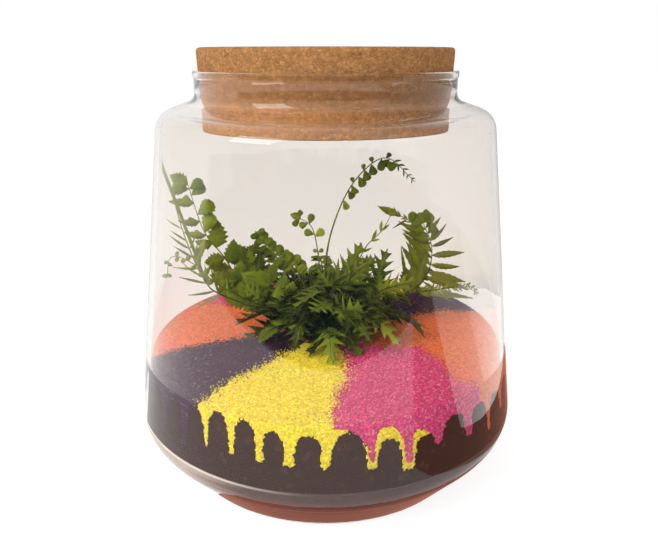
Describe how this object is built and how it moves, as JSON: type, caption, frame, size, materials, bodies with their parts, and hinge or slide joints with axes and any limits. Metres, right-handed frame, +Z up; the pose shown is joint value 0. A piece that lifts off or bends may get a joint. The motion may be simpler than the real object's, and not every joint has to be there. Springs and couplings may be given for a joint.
{
  "type": "corked jar terrarium",
  "caption": "Conical clear glass jar with a cork stopper, holding small ferns in dark soil under a ring of coloured sand that drips down behind the glass.",
  "frame": {"origin": "centre of the jar's flat foot, on the surface that it stands on", "axes": "+Z up along the jar's axis, -Y towards the front with the yellow and pink sand, +X to the right seen from the front"},
  "size_m": [0.1832, 0.1832, 0.195],
  "materials": {
    "glass": "clear polished blown glass",
    "cork": "matt agglomerated cork granules",
    "grit": "matt reddish clay grit",
    "soil": "matt dark peat and bark mix",
    "sand_purple": "matt dyed sand",
    "sand_yellow": "matt dyed sand",
    "sand_pink": "matt dyed sand",
    "sand_coral": "matt dyed sand",
    "leaf_dark": "satin living leaf",
    "leaf_mid": "satin living leaf",
    "leaf_pale": "satin living leaf"
  },
  "bodies": {
    "jar": {"glass_jar": "glass", "drainage_layer": "grit", "soil_bed": "soil", "sand_purple_front": "sand_purple", "sand_yellow_front": "sand_yellow", "sand_pink_front": "sand_pink", "sand_coral_right": "sand_coral", "sand_purple_back": "sand_purple", "sand_yellow_back": "sand_yellow", "sand_pink_back": "sand_pink", "sand_coral_left": "sand_coral", "root_ball": "soil", "frond_left_tall": "leaf_mid", "frond_left_grassy": "leaf_pale", "frond_left_low": "leaf_pale", "frond_centre_left": "leaf_dark", "small_stem": "leaf_mid", "tall_arching_stem": "leaf_mid", "frond_right_upright": "leaf_mid", "frond_right_curved": "leaf_pale", "frond_right_low": "leaf_mid", "leaf_right_pale": "leaf_pale", "leaf_centre_top": "leaf_dark", "leaf_right_mid": "leaf_dark", "leaf_front_left": "leaf_dark", "leaf_front": "leaf_dark", "leaf_front_right": "leaf_dark", "leaf_left_low": "leaf_pale", "leaf_left_mid": "leaf_mid", "frond_back": "leaf_mid", "frond_back_left": "leaf_dark", "frond_back_right": "leaf_dark"},
    "lid": {"cork_lid": "cork"}
  },
  "joints": [
    {"name": "lid_lift", "type": "slide", "parent": "jar", "child": "lid", "axis": [0, 0, 1], "range_m": [0, 0.12]}
  ]
}
